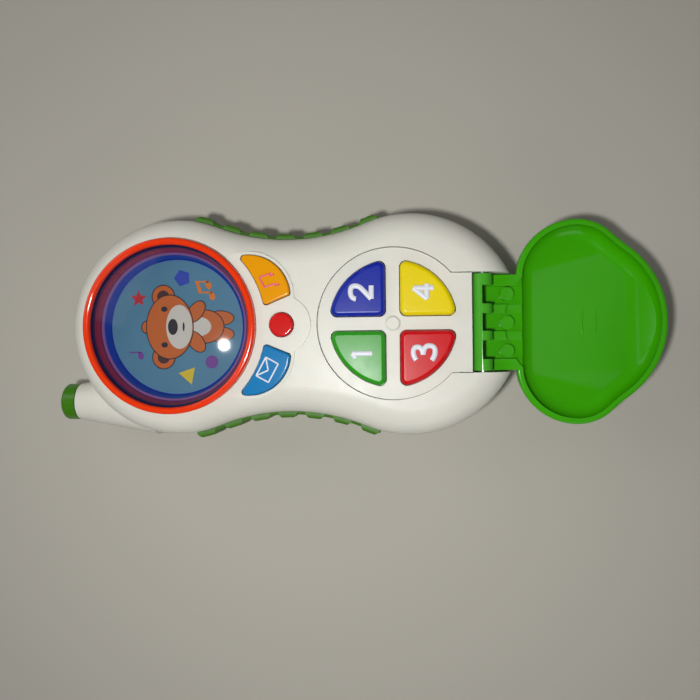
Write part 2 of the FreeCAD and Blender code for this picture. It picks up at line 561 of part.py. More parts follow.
def lid_body(name, step, low, high, round_bottom, round_top=None):
    """The lid's outline moved outwards by a step: a nose, two lobes and hollow blends, all tangent."""
    body = doc.addObject("PartDesign::Body", name)
    sketch = sketch_in(body, low)
    grow = size(step)
    lobe_x, lobe_y, lobe = size("lobe_x"), size("lobe_y"), size("lobe_radius") + grow
    shoulder = size("shoulder_radius") + grow
    shoulder_y = lobe_y + lobe - shoulder
    nose_x, nose = size("nose_x"), size("nose_radius") + grow
    blend, corner, end_x = size("blend_radius") - grow, size("lid_corner") + grow, size("lid_start") - grow
    corner_x = end_x + corner
    corner_y = lobe_y + math.sqrt((lobe - corner) ** 2 - (lobe_x - corner_x) ** 2)
    reach, near, far = math.hypot(nose_x - lobe_x, shoulder_y), nose + blend, shoulder + blend
    along = (near ** 2 - far ** 2 + reach ** 2) / (2 * reach)
    off = math.sqrt(near ** 2 - along ** 2)
    to_shoulder = Vector(lobe_x - nose_x, shoulder_y, 0) / reach
    blend_centre = Vector(nose_x, 0, 0) + to_shoulder * along + Vector(to_shoulder.y, -to_shoulder.x, 0) * off
    lean_nose = math.atan2(blend_centre.y, blend_centre.x - nose_x)
    lean_shoulder = math.atan2(blend_centre.y - shoulder_y, blend_centre.x - lobe_x)
    lean_corner = math.atan2(corner_y - lobe_y, corner_x - lobe_x)
    top = math.pi / 2
    arcs = ((corner_x, -corner_y, corner, math.pi, 2 * math.pi - lean_corner),
            (lobe_x, -lobe_y, lobe, 2 * math.pi - lean_corner, 3 * top),
            (lobe_x, -shoulder_y, shoulder, -top, -lean_shoulder),
            (blend_centre.x, -blend_centre.y, blend, math.pi - lean_nose, math.pi - lean_shoulder),
            (nose_x, 0, nose, -lean_nose, lean_nose),
            (blend_centre.x, blend_centre.y, blend, math.pi + lean_shoulder, math.pi + lean_nose),
            (lobe_x, shoulder_y, shoulder, lean_shoulder, top),
            (lobe_x, lobe_y, lobe, top, lean_corner),
            (corner_x, corner_y, corner, lean_corner, math.pi))
    sketch.addGeometry(Part.LineSegment(Vector(end_x, corner_y, 0), Vector(end_x, -corner_y, 0)))
    for x, y, radius, start, end in arcs:
        sketch.addGeometry(Part.ArcOfCircle(Part.Circle(Vector(x, y, 0), Vector(0, 0, 1), radius), start, end))
    for one, one_end, other, other_end in ((0, 2, 1, 1), (1, 2, 2, 1), (2, 2, 3, 1), (3, 2, 4, 2), (4, 1, 5, 1),
                                           (5, 2, 6, 2), (6, 1, 7, 1), (7, 2, 8, 1), (8, 2, 9, 1), (9, 2, 0, 1)):
        sketch.addConstraint(Sketcher.Constraint("Tangent", one, one_end, other, other_end))
    for side, arc, sign in (("low", 2, -1), ("top", 8, 1)):
        formula = "lobe_y" if sign > 0 else "0 - lobe_y"
        constrain(sketch, f"lobe_x_{side}", "lobe_x", "DistanceX", -1, 1, arc, 3, lobe_x)
        constrain(sketch, f"lobe_y_{side}", formula, "DistanceY", -1, 1, arc, 3, sign * lobe_y)
        constrain(sketch, f"lobe_{side}", f"lobe_radius + {step}", "Radius", arc, lobe)
    for side, arc in (("low", 3), ("top", 7)):
        constrain(sketch, f"shoulder_x_{side}", "lobe_x", "DistanceX", -1, 1, arc, 3, lobe_x)
        constrain(sketch, f"shoulder_{side}", f"shoulder_radius + {step}", "Radius", arc, shoulder)
    for side, arc in (("low", 4), ("top", 6)):
        constrain(sketch, f"blend_{side}", f"blend_radius - {step}", "Radius", arc, blend)
    for side, arc in (("low", 1), ("top", 9)):
        constrain(sketch, f"corner_{side}", f"lid_corner + {step}", "Radius", arc, corner)
    sketch.addConstraint(Sketcher.Constraint("PointOnObject", 5, 3, -1))
    constrain(sketch, "nose_x", "nose_x", "DistanceX", -1, 1, 5, 3, nose_x)
    constrain(sketch, "nose", f"nose_radius + {step}", "Radius", 5, nose)
    sketch.addConstraint(Sketcher.Constraint("Vertical", 0))
    constrain(sketch, "end_x", f"lid_start - {step}", "DistanceX", -1, 1, 0, 1, end_x)
    pad = body.newObject("PartDesign::Pad", name + "_pad")
    pad.Profile = sketch
    bind(pad, Length=f"( {high} ) - ( {low} )")
    doc.recompute()
    last = body_fillet(body, pad, round_bottom, level(pad.Shape.BoundBox.ZMin))
    if round_top:
        body_fillet(body, last, round_top, level(pad.Shape.BoundBox.ZMax))
    return body


def lid_shell():
    """Bowl with a rounded rim, a dish inside it and a ramp rising to the nose."""
    bowl = lid_body("lid_outside", "flush", "bowl_low", "rim_z", "lid_round", "rim_round")
    dish = lid_body("lid_inside", "dish_step", "bowl_low + lid_wall", "rim_z + 1", "dish_round")
    ramp = rod_y("lobe_y + lobe_radius", "ramp_x", "bowl_low + lid_wall + ramp_radius - ramp_sink", "ramp_radius")
    before_ramp = block("hinge_x", "ramp_start", "0 - lobe_y - lobe_radius", "lobe_y + lobe_radius", "bowl_low",
                        "rim_z + 2")
    hollow = common(dish, fuse(ramp, before_ramp))
    return bowl, hollow


def tongue_pockets():
    """Three pockets between two ribs, open towards the dish."""
    return [block("hinge_x - pocket_back", "lid_start + lid_wall + 0.5", low, high, "pocket_floor",
                  "hinge_z + barrel_radius + 1")
            for low, high in (("rib_y + rib_half", "strip_half"), ("0 - rib_y + rib_half", "rib_y - rib_half"),
                              ("0 - strip_half", "0 - rib_y - rib_half"))]


def flip_cover():
    bowl, hollow = lid_shell()
    ears = disc("head_x + lobe_gap", "0", "tail_radius + ear_gap", "bowl_low - 1", "rim_z + 2")
    barrel = rod_y("tongue_half", "hinge_x", "hinge_z", "barrel_radius")
    neck = block("hinge_x - tongue_back", "hinge_x + tongue_back", "0 - tongue_half", "tongue_half", "tongue_low",
                 "hinge_z")
    plate = block("hinge_x", "lid_start + 3", "0 - tongue_half", "tongue_half", "tongue_low", "rim_z")
    posts = [disc("post_x", y, "post_radius", "tongue_low", "post_z") for y in ("post_y", "0", "0 - post_y")]
    over_keys = disc("2 * hinge_x - keypad_x", "0", "key_radius + key_relief", "key_relief_z", "rim_z + 5")
    bore = stub_y("pin_start - fit_gap", "tongue_half + 1", "hinge_x", "hinge_z", "bore_radius")
    tongue = fuse(cut(fuse(barrel, neck, plate), *tongue_pockets()), *posts)
    lid = cut(fuse(cut(bowl, ears), tongue), hollow, over_keys, bore, mirrored(bore), *tongue_pockets())
    keep(fuse(lid, *(cut(post, hollow) for post in posts)), "flip_cover")
    pin = stub_y("pin_start", "slot_wall - fit_gap * 3", "hinge_x", "hinge_z", "pin_radius")
    keep(fuse(pin, mirrored(pin)), "hinge_pins")


# ---- works inside ----

def boards_and_pads():
    holes = [disc(str(x), str(y), "board_hole", "0", "face_z") for x, y in BOARD_SCREW_PLACES]
    board = block("arc_x", "board_end", "0 - board_half", "board_half", "board_low", "board_high")
    keep(cut(board, *holes), "main_board")
    keep(fuse(*(fuse(disc(str(x), str(y), "board_shank", "board_low - shank_deep", "board_high"),
                     disc(str(x), str(y), "board_head", "board_high + 0.05", "board_high + board_head_high"))
                for x, y in BOARD_SCREW_PLACES)), "board_screws")
    keep(disc("0", "0", "chip_radius", "board_low - chip_high", "board_low"), "chip_blob")
    reach = "( key_radius + key_inset ) * 0.475"
    domes = [cone(f"keypad_x + {side} * {reach}", f"{across} * {reach}", "dome_wide", "dome_narrow",
                  "pad_high - fit_gap", "key_dome_z") for side in (1, -1) for across in (1, -1)]
    sheet_pad = cut(disc("keypad_x", "0", "pad_radius", "pad_low", "pad_high"),
                    disc(str(BOARD_SCREW_PLACES[-1][0]), "0", "pad_hole", "pad_low - 1", "pad_high + 1"))
    keep(fuse(sheet_pad, *domes), "keypad_pad")
    spots = (("button_stem_x", "button_stem_y"), ("call_x", "0"), ("button_stem_x", "0 - button_stem_y"))
    strip = block("call_x - strip_back", "call_x + strip_front", "0 - strip_side", "strip_side", "pad_low",
                  "pad_high")
    clear = [disc(str(x), str(y), "pad_hole", "pad_low - 1", "pad_high + 1") for x, y in BOARD_SCREW_PLACES]
    bumps = [cone(x, y, "bump_wide", "bump_narrow", "pad_high - fit_gap", "button_dome_z") for x, y in spots]
    keep(fuse(cut(strip, *clear), *bumps), "button_pad")
    keep(block("head_x - head_board_x", "head_x + head_board_x", "0 - head_board_y", "head_board_y", "head_board_low",
               "head_board_high"), "head_board")
    keep(fuse(*(disc(place, "0", "led_radius", "head_board_high", "led_high")
                for place in ("head_x - led_x", "head_x + led_x"))), "leds")


def power():
    for number, y in ((1, "cell_y"), (2, "0 - cell_y")):
        keep(rod_x("cell_start", "cell_end", y, "cell_z", "cell_radius"), f"battery_{number}")
    plates = [block(x0, x1, f"{y} - plate_half", f"{y} + plate_half", "cell_z - plate_half", "cell_z + plate_half")
              for x0, x1 in (("bay_start", "cell_start - plate_gap"), ("cell_end + plate_gap", "bay_end"))
              for y in ("cell_y", "0 - cell_y")]
    keep(fuse(*plates), "battery_contacts")
    door = rounded(block("door_start", "door_end", "0 - door_half", "door_half", "0", "door_high"),
                   "door_corner", upright)
    keep(cut(door, disc("door_screw_x", "0", "screw_shank + door_gap", "0 - 1", "door_high + 1"),
             disc("door_screw_x", "0", "screw_head + door_gap", "0 - 1", "door_head_z")), "battery_door")
    keep(fuse(disc("door_screw_x", "0", "screw_head", "fit_gap", "door_head_z - 0.05"),
              disc("door_screw_x", "0", "screw_shank", "door_head_z - fit_gap", "door_pilot_top - 2")), "battery_door_screw")
    keep(disc("head_x", "0", "speaker_radius", "wall + 0.05", "wall + speaker_high"), "speaker")
    keep(fuse(block("knob_x - knob_half_x", "knob_x + knob_half_x", "0 - knob_half_y", "knob_half_y", "knob_low",
                    "knob_high"),
              block("knob_x - knob_half_x", "knob_x + knob_half_x", "0 - stalk_half_y", "stalk_half_y",
                    "( knob_low + knob_high ) / 2", "stalk_high")), "power_knob")
    keep(block("switch_x - switch_half_x", "switch_x + switch_half_x", "0 - switch_half_y", "switch_half_y",
               "switch_low", "switch_high"), "power_switch")
    keep(fuse(*(fuse(disc(str(x), str(y), "screw_head", "head_low", "head_seat - 0.05"),
                     disc(str(x), str(y), "screw_shank", "head_seat - 0.5", "face_z - 6")) for x, y in SCREW_PLACES)),
         "case_screws")


front_shell()
rear_shell()
grips()
antenna()
picture_window()
function_buttons()
keys()
keypad_plate()
flip_cover()
boards_and_pads()
power()
doc.recompute()

faults = [item.Label for item in doc.Objects if "Invalid" in item.State or "Error" in item.State]
if faults:
    raise RuntimeError("failed objects: " + ", ".join(faults))
os.makedirs("parts", exist_ok=True)
for part in PARTS:
    shape = part.Shape
    if shape.isNull() or not shape.isValid() or not shape.Solids:
        raise RuntimeError(f"bad shape: {part.Label}")
    shape.exportStep(f"parts/{part.Label}.step")
    box = shape.optimalBoundingBox(True, False)
    print(f"{part.Label:20s} solids {len(shape.Solids)}  x {box.XMin:.2f} {box.XMax:.2f}"
          f"  y {box.YMin:.2f} {box.YMax:.2f}  z {box.ZMin:.2f} {box.ZMax:.2f}")
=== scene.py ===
import math

import bmesh
import bpy
from mathutils import Matrix, Vector


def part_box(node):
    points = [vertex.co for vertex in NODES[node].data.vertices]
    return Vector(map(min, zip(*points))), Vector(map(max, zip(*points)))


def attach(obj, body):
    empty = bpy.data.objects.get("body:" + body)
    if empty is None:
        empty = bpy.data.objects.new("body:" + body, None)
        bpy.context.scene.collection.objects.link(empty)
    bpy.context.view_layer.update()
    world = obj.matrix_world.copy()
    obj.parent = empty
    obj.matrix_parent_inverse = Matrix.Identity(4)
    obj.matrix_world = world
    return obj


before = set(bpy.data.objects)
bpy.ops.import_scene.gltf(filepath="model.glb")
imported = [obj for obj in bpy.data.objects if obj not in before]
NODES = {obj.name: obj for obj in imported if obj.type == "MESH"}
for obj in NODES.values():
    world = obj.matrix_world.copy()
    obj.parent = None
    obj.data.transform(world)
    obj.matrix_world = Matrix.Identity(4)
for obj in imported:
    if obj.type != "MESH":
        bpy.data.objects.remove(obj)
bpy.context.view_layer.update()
MM = 0.001


# ---- places, all worked out from the frame ----

def middle(node):
    low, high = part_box(node)
    return (low + high) / 2


def top(node):
    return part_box(node)[1].z


CARD = middle("picture_card")
KEYPAD = middle("keypad_pad")


# ---- materials ----

BLOTCH_SCALE = 60
SMEAR_SCALE = 220
EDGE_START, EDGE_FULL = 0.52, 0.62      # where wear on an edge begins, and where it is complete
PALE_SHARE = 0.6                        # how far a worn edge goes towards white
GRAIN_HEIGHT = 0.1 * MM
COAT_ROUGH = 0.08
SCATTER_REACH = 2 * MM
KEY_ROUGH, KEY_GLEAM = 0.27, 0.2
WINDOW_TINT = (0.03, 0.03, 0.06, 1.0)
WINDOW_CLEAR, WINDOW_SOLID = 0.1, 0.75  # opacity seen square on, and at a glancing angle
CUP_WALL, CUP_LIP = (8, 60, 196), (16, 14, 70)
CUP_BANDS_WITH_PAINTED_REFLECTION = (                           # share of the cup's height, and the colour there: blue wall, a pale painted highlight on the ledge, crimson and purple painted reflection of the orange ring, navy near the lip
    (0.50, (8, 66, 200)),
    (0.555, (176, 130, 190)),
    (0.60, (110, 26, 110)),
    (0.74, (176, 30, 70)),
    (0.9, (150, 24, 72)),
    (0.94, (22, 18, 90)),
)


def linear(red, green, blue):
    """Linear colour from display values between 0 and 255."""
    return tuple(((value / 255 + 0.055) / 1.055) ** 2.4 if value > 10 else value / 255 / 12.92
                 for value in (red, green, blue)) + (1.0,)


def new_material(name):
    material = bpy.data.materials.new(name)
    material.use_nodes = True
    return material, material.node_tree, material.node_tree.nodes["Principled BSDF"]


def noise(tree, scale, detail=3.0):
    node = tree.nodes.new("ShaderNodeTexNoise")
    node.inputs["Scale"].default_value = scale
    node.inputs["Detail"].default_value = detail
    place = tree.nodes.new("ShaderNodeTexCoord")
    tree.links.new(place.outputs["Object"], node.inputs["Vector"])
    return node


def varied_gloss(tree, shader, scale, detail, smooth, rough):
    """Roughness that wanders between two values over the surface."""
    smear = noise(tree, scale, detail)
    gloss = tree.nodes.new("ShaderNodeMapRange")
    gloss.inputs["To Min"].default_value = smooth
    gloss.inputs["To Max"].default_value = rough
    tree.links.new(smear.outputs["Fac"], gloss.inputs["Value"])
    tree.links.new(gloss.outputs["Result"], shader.inputs["Roughness"])


def moulded(name, colour, rough=0.3, grain=900, grain_depth=0.02, coat=0.0, shade=0.06, scatter=0.0,
            worn=0.04, gleam=0.5):
    """Injection-moulded plastic: fine grain, slight mottling, and edges polished paler by handling."""
    material, tree, shader = new_material(name)
    blotch = noise(tree, BLOTCH_SCALE)
    mix = tree.nodes.new("ShaderNodeMix")
    mix.data_type = "RGBA"
    base = linear(*colour)
    mix.inputs["A"].default_value = tuple(value * (1 - shade) for value in base[:3]) + (1.0,)
    mix.inputs["B"].default_value = tuple(min(1.0, value * (1 + shade)) for value in base[:3]) + (1.0,)
    tree.links.new(blotch.outputs["Fac"], mix.inputs["Factor"])
    edge = tree.nodes.new("ShaderNodeNewGeometry")
    ramp = tree.nodes.new("ShaderNodeMapRange")
    ramp.inputs["From Min"].default_value = EDGE_START
    ramp.inputs["From Max"].default_value = EDGE_FULL
    ramp.inputs["To Max"].default_value = worn
    tree.links.new(edge.outputs["Pointiness"], ramp.inputs["Value"])
    wear = tree.nodes.new("ShaderNodeMix")
    wear.data_type = "RGBA"
    wear.inputs["B"].default_value = tuple(value * (1 - PALE_SHARE) + PALE_SHARE for value in base[:3]) + (1.0,)
    tree.links.new(ramp.outputs["Result"], wear.inputs["Factor"])
    tree.links.new(mix.outputs["Result"], wear.inputs["A"])
    tree.links.new(wear.outputs["Result"], shader.inputs["Base Color"])
    varied_gloss(tree, shader, SMEAR_SCALE, 5, rough * 0.85, rough * 1.2)
    fine = noise(tree, grain, 2)
    bump = tree.nodes.new("ShaderNodeBump")
    bump.inputs["Strength"].default_value = grain_depth
    bump.inputs["Distance"].default_value = GRAIN_HEIGHT
    tree.links.new(fine.outputs["Fac"], bump.inputs["Height"])
    tree.links.new(bump.outputs["Normal"], shader.inputs["Normal"])
    shader.inputs["Specular IOR Level"].default_value = gleam
    shader.inputs["Coat Weight"].default_value = coat
    shader.inputs["Coat Roughness"].default_value = COAT_ROUGH
    shader.inputs["Subsurface Weight"].default_value = scatter
    shader.inputs["Subsurface Scale"].default_value = SCATTER_REACH
    return material


def window_plastic():
    """Clear polished dome: it shows mostly as reflections, stronger at a glancing angle."""
    material, tree, shader = new_material("clear_window")
    shader.inputs["Base Color"].default_value = WINDOW_TINT
    shader.inputs["Specular IOR Level"].default_value = 0.8
    facing = tree.nodes.new("ShaderNodeLayerWeight")
    facing.inputs["Blend"].default_value = 0.2
    reach = tree.nodes.new("ShaderNodeMapRange")
    reach.inputs["To Min"].default_value = WINDOW_CLEAR
    reach.inputs["To Max"].default_value = WINDOW_SOLID
    tree.links.new(facing.outputs["Fresnel"], reach.inputs["Value"])
    tree.links.new(reach.outputs["Result"], shader.inputs["Alpha"])
    varied_gloss(tree, shader, 90, 4, 0.03, 0.12)
    return material


def cup_with_painted_reflection(low, high):
    """Glossy cup round the card: deep blue wall, a painted highlight as a pale ledge line, and a painted
    reflection of the orange ring as a crimson band below the ring.
    """
    material, tree, shader = new_material("cup_painted_reflection")
    place = tree.nodes.new("ShaderNodeTexCoord")
    split = tree.nodes.new("ShaderNodeSeparateXYZ")
    height = tree.nodes.new("ShaderNodeMapRange")
    height.inputs["From Min"].default_value = low
    height.inputs["From Max"].default_value = high
    bands = tree.nodes.new("ShaderNodeValToRGB")
    bands.color_ramp.elements[0].color = linear(*CUP_WALL)
    bands.color_ramp.elements[1].color = linear(*CUP_LIP)
    for position, colour in CUP_BANDS_WITH_PAINTED_REFLECTION:
        bands.color_ramp.elements.new(position).color = linear(*colour)
    tree.links.new(place.outputs["Object"], split.inputs["Vector"])
    tree.links.new(split.outputs["Z"], height.inputs["Value"])
    tree.links.new(height.outputs["Result"], bands.inputs["Fac"])
    tree.links.new(bands.outputs["Color"], shader.inputs["Base Color"])
    varied_gloss(tree, shader, 260, 4, 0.12, 0.3)
    return material


def metal(name, colour, rough):
    material, tree, shader = new_material(name)
    shader.inputs["Base Color"].default_value = linear(*colour)
    shader.inputs["Metallic"].default_value = 1.0
    varied_gloss(tree, shader, 1500, 3.0, rough * 0.7, rough * 1.3)
    return material


WHITE = moulded("white_plastic", (224, 222, 210), rough=0.36, grain=1400, scatter=0.1, gleam=0.25)
GRIP = moulded("grip_rubber", (62, 116, 8), rough=0.55, grain=2200, grain_depth=0.06)
LID = moulded("lid_plastic", (60, 166, 0), rough=0.16, scatter=0.05, gleam=0.3)
TIP = moulded("tip_plastic", (60, 122, 4), rough=0.2, gleam=0.35)
RING = moulded("ring_plastic", (240, 56, 6), rough=0.14, scatter=0.1)
CUP = cup_with_painted_reflection(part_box("screen_cup")[0].z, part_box("screen_cup")[1].z)
PAPER = moulded("card_print", (82, 142, 172), rough=0.5, grain=3000, shade=0.12, worn=0.0)
KEY_COLOURS = {
    "key_1": (44, 152, 26),
    "key_2": (20, 40, 158),
    "key_3": (206, 10, 20),
    "key_4": (236, 212, 0),
}
ORANGE = moulded("orange_button", (236, 156, 0), rough=0.16, gleam=0.3)
SKY = moulded("message_button", (18, 122, 182), rough=0.16, gleam=0.3)
RED = moulded("call_button", (212, 10, 10), rough=0.14)
INK_WHITE = moulded("pale_print", (222, 224, 232), rough=0.4, shade=0.02, worn=0.0)
INK_PINK = moulded("pink_print", (232, 90, 110), rough=0.4, shade=0.02, worn=0.0)
STEEL = metal("steel", (190, 190, 190), 0.3)
DARK = moulded("dark_parts", (24, 24, 26), rough=0.5)
BOARD = moulded("board", (14, 84, 40), rough=0.45)
SILICONE = moulded("silicone", (170, 170, 168), rough=0.6)
CELL = moulded("cell_jacket", (60, 66, 76), rough=0.25, coat=0.4)
WINDOW = window_plastic()

FINISHES = {
    WHITE: ("front_shell", "rear_shell", "keypad_plate", "antenna_base", "battery_door"),
    GRIP: ("left_grip", "right_grip"),
    LID: ("flip_cover",),
    TIP: ("antenna_tip",),
    RING: ("screen_bezel", "leds"),
    CUP: ("screen_cup",),
    PAPER: ("picture_card",),
    ORANGE: ("music_button",),
    SKY: ("message_button",),
    RED: ("call_button",),
    STEEL: ("hinge_pins", "board_screws", "battery_contacts", "battery_door_screw", "case_screws"),
    DARK: ("chip_blob", "speaker", "power_knob", "power_switch"),
    BOARD: ("main_board", "head_board"),
    SILICONE: ("keypad_pad", "button_pad"),
    CELL: ("battery_1", "battery_2"),
    WINDOW: ("screen_lens",),
}


def dress():
    for material, nodes in FINISHES.items():
        for node in nodes:
            NODES[node].material_slots[0].material = material
    for node, colour in KEY_COLOURS.items():
        plastic = moulded(node + "_plastic", colour, rough=KEY_ROUGH, gleam=KEY_GLEAM)
        NODES[node].material_slots[0].material = plastic


# ---- flat and raised artwork ----

def add(name, mesh, material, body):
    thing = bpy.data.objects.new(name, mesh)
    bpy.context.scene.collection.objects.link(thing)
    thing.data.materials.append(material)
    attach(thing, body)
    return thing


def on_face(centre, across, up, turn=0.0):
    """Place of a point on the phone's front: up is towards the picture window, across towards +Y."""
    c, s = math.cos(turn), math.sin(turn)
    right, rise = (across * c - up * s) * MM, (across * s + up * c) * MM
    return Vector((centre.x - rise, centre.y + right, 0))


def patch(name, centre, outline, z, material, body="case", thick=0.04):
    """A thin printed shape from an outline given in millimetres."""
    mesh = bpy.data.meshes.new(name)
    build = bmesh.new()
    ring = [build.verts.new(on_face(centre, x, y) + Vector((0, 0, z))) for x, y in outline]
    face = build.faces.new(ring)
    if face.normal.z < 0:
        face.normal_flip()
    lifted = bmesh.ops.extrude_face_region(build, geom=[face])
    bmesh.ops.translate(build, vec=Vector((0, 0, thick * MM)),
                        verts=[item for item in lifted["geom"] if isinstance(item, bmesh.types.BMVert)])
    bmesh.ops.recalc_face_normals(build, faces=build.faces)
    build.to_mesh(mesh)
    build.free()
    return add(name, mesh, material, body)


def oval(x, y, wide, tall, turn=0.0, steps=40):
    c, s = math.cos(turn), math.sin(turn)
    points = []
    for step in range(steps):
        angle = 2 * math.pi * step / steps
        a, b = wide * math.cos(angle), tall * math.sin(angle)
        points.append((x + a * c - b * s, y + a * s + b * c))
    return points


def star(x, y, radius, points=5, inner=0.45, turn=0.0):
    """The corners of a star: every second one lies nearer the middle."""
    outline = []
    for step in range(2 * points):
        reach = radius * (1 if step % 2 == 0 else inner)
        angle = math.pi * step / points + turn
        outline.append((x + reach * math.sin(angle), y + reach * math.cos(angle)))
    return outline


def regular(x, y, radius, sides, turn=0.0):
    return [(x + radius * math.sin(2 * math.pi * step / sides + turn),
             y + radius * math.cos(2 * math.pi * step / sides + turn)) for step in range(sides)]


def grown(outline, margin):
    """An outline spread out from its own middle by a margin."""
    centre = sum((Vector(point) for point in outline), Vector((0, 0))) / len(outline)
    return [tuple(Vector(point) + (Vector(point) - centre).normalized() * margin) for point in outline]


def raised(name, centre, paths, width, z, material, body, turn=0.0, flat=0.35):
    """Rounded strokes, flattened, for numerals and icons."""
    curve = bpy.data.curves.new(name, "CURVE")
    curve.dimensions = "3D"
    curve.bevel_depth = width / 2 * MM
    curve.bevel_resolution = 4
    curve.use_fill_caps = True
    for path in paths:
        spline = curve.splines.new("NURBS")
        spline.points.add(len(path) - 1)
        for point, (x, y) in zip(spline.points, path):
            place = on_face(centre, x, y, turn)
            point.co = (place.x, place.y, 0, 1)
        spline.order_u = min(3, len(path))
        spline.use_endpoint_u = True
    source = bpy.data.objects.new(name + "_curve", curve)
    bpy.context.scene.collection.objects.link(source)
    mesh = bpy.data.meshes.new_from_object(source)
    bpy.data.objects.remove(source)
    mesh.transform(Matrix.Translation((0, 0, z)) @ Matrix.Diagonal((1, 1, flat, 1)))
    for polygon in mesh.polygons:
        polygon.use_smooth = True
    return add(name, mesh, material, body)


CARD_LIFT = 0.02 * MM       # gap under the lowest print
LAYER = 0.05 * MM           # step from one print level to the next
INK_MARGIN = 0.35           # width of the ink line round the brown shapes, in millimetres


def card_art():
    """A plain teddy of this toy's own, with toys and notes round it."""
    z = top("picture_card") + CARD_LIFT
    brown = moulded("print_brown", (212, 104, 8), rough=0.5, shade=0.03, worn=0.0)
    pale = moulded("print_pale", (226, 222, 210), rough=0.5, shade=0.03, worn=0.0)
    deep = moulded("print_deep", (70, 26, 8), rough=0.5, shade=0.03, worn=0.0)
    ink = moulded("print_ink", (28, 20, 24), rough=0.5, shade=0.0, worn=0.0)
    colours = {name: moulded("print_" + name, colour, rough=0.5, shade=0.02, worn=0.0) for name, colour in
               (("red", (204, 26, 34)), ("blue", (36, 70, 190)), ("yellow", (236, 208, 30)),
                ("purple", (120, 60, 160)), ("orange", (236, 130, 20)))}
    shapes = (("teddy_leg_left", oval(-2.7, -14.8, 2.3, 4.6), brown, 1),
              ("teddy_leg_right", oval(2.7, -14.8, 2.3, 4.6), brown, 1),
              ("teddy_body", oval(0, -9.6, 5.4, 6.4), brown, 2),
              ("teddy_belly", oval(0, -7.6, 3.2, 4.2), pale, 3),
              ("teddy_arm_left", oval(-5.0, -6.6, 2.3, 4.0, -0.9), brown, 4),
              ("teddy_arm_right", oval(5.0, -6.6, 2.3, 4.0, 0.9), brown, 4),
              ("teddy_ear_left", oval(-10.2, 4.6, 3.7, 3.7), brown, 2),
              ("teddy_ear_right", oval(10.2, 4.6, 3.7, 3.7), brown, 2),
              ("teddy_ear_inner_left", oval(-10.2, 4.6, 2.1, 2.1), deep, 3),
              ("teddy_ear_inner_right", oval(10.2, 4.6, 2.1, 2.1), deep, 3),
              ("teddy_tuft", oval(0, 10.2, 2.0, 1.8), brown, 2),
              ("teddy_head", oval(0, 2.4, 10.6, 7.9), brown, 5),
              ("teddy_muzzle", oval(0, -0.9, 7.4, 4.5), pale, 6),
              ("teddy_nose", oval(0, 1.3, 2.7, 1.7), ink, 7),
              ("teddy_mouth", oval(0, -2.4, 1.5, 0.35), ink, 7),
              ("teddy_eye_left", oval(-6.0, 4.2, 0.9, 1.1), ink, 7),
              ("teddy_eye_right", oval(6.0, 4.2, 0.9, 1.1), ink, 7),
              ("toy_star", star(9.7, 13.2, 2.9, turn=0.3), colours["red"], 0),
              ("toy_pentagon", regular(16.4, -2.0, 2.9, 5), colours["blue"], 0),
              ("toy_ball", oval(-11.9, -11.9, 2.2, 2.2), colours["purple"], 0),
              ("toy_block", regular(-16.2, -3.8, 3.4, 3, 0.2), colours["yellow"], 0),
              ("note_head_one", oval(10.2, -12.2, 1.4, 1.0, 0.3), colours["orange"], 0),
              ("note_head_two", oval(13.8, -11.0, 1.4, 1.0, 0.3), colours["orange"], 0),
              ("note_stem_one", [(11.1, -12.2), (11.7, -12.2), (11.7, -7.6), (11.1, -7.8)],
               colours["orange"], 0),
              ("note_stem_two", [(14.7, -11.0), (15.3, -11.0), (15.3, -6.4), (14.7, -6.6)],
               colours["orange"], 0),
              ("note_beam", [(11.1, -8.9), (15.3, -7.6), (15.3, -6.4), (11.1, -7.6)], colours["orange"], 1),
              ("small_note_head", oval(-9.6, 12.6, 1.3, 1.0, 0.3), colours["purple"], 0),
              ("small_note_stem", [(-8.7, 12.6), (-8.2, 12.6), (-8.2, 16.6), (-8.7, 16.6)], colours["purple"], 0))
    for name, outline, material, level in shapes:
        patch(name, CARD, outline, z + level * LAYER, material)
        if material is brown:
            behind = z + level * LAYER - LAYER / 2
            patch(name + "_outline", CARD, grown(outline, INK_MARGIN), behind, ink)


NUMERALS = {
    "key_1": [[(-1.5, 2.6), (0.3, 4.1)], [(0.3, 4.1), (0.3, -4.1)]],
    "key_2": [[(-2.6, 2.3), (-2.2, 4.4), (2.6, 4.6), (2.9, 1.2), (0.2, -1.4), (-2.6, -4.0)],
              [(-2.6, -4.0), (2.8, -4.0)]],
    "key_3": [[(-2.5, 3.2), (-0.6, 4.6), (3.0, 4.0), (2.4, 0.6), (-0.4, 0.4)],
              [(-0.4, 0.4), (3.2, 0.2), (3.2, -4.2), (-0.6, -4.6), (-2.7, -3.0)]],
    "key_4": [[(1.5, -4.1), (1.5, 4.1)], [(1.5, 4.1), (-2.9, -1.4)], [(-2.9, -1.4), (3.1, -1.4)]],
}
NUMERAL_SCALE = 0.78
NUMERAL_STROKE = 1.7        # millimetres
NUMERAL_SHIFT = 0.12        # share of the way from a key's middle to the keypad's


def numerals():
    for key, paths in NUMERALS.items():
        place = middle(key).lerp(KEYPAD, NUMERAL_SHIFT)
        paths = [[(x * NUMERAL_SCALE, y * NUMERAL_SCALE) for x, y in path] for path in paths]
        raised("numeral_" + key, place, paths, NUMERAL_STROKE, top(key), INK_WHITE, key + "_cap")


ICON_SCALE = 1.2
MUSIC_SHIFT, MESSAGE_SHIFT = 1.6 * MM, 0.8 * MM     # from each button's middle, away from the picture window
MUSIC_TURN, MESSAGE_TURN = 0.3, -0.5


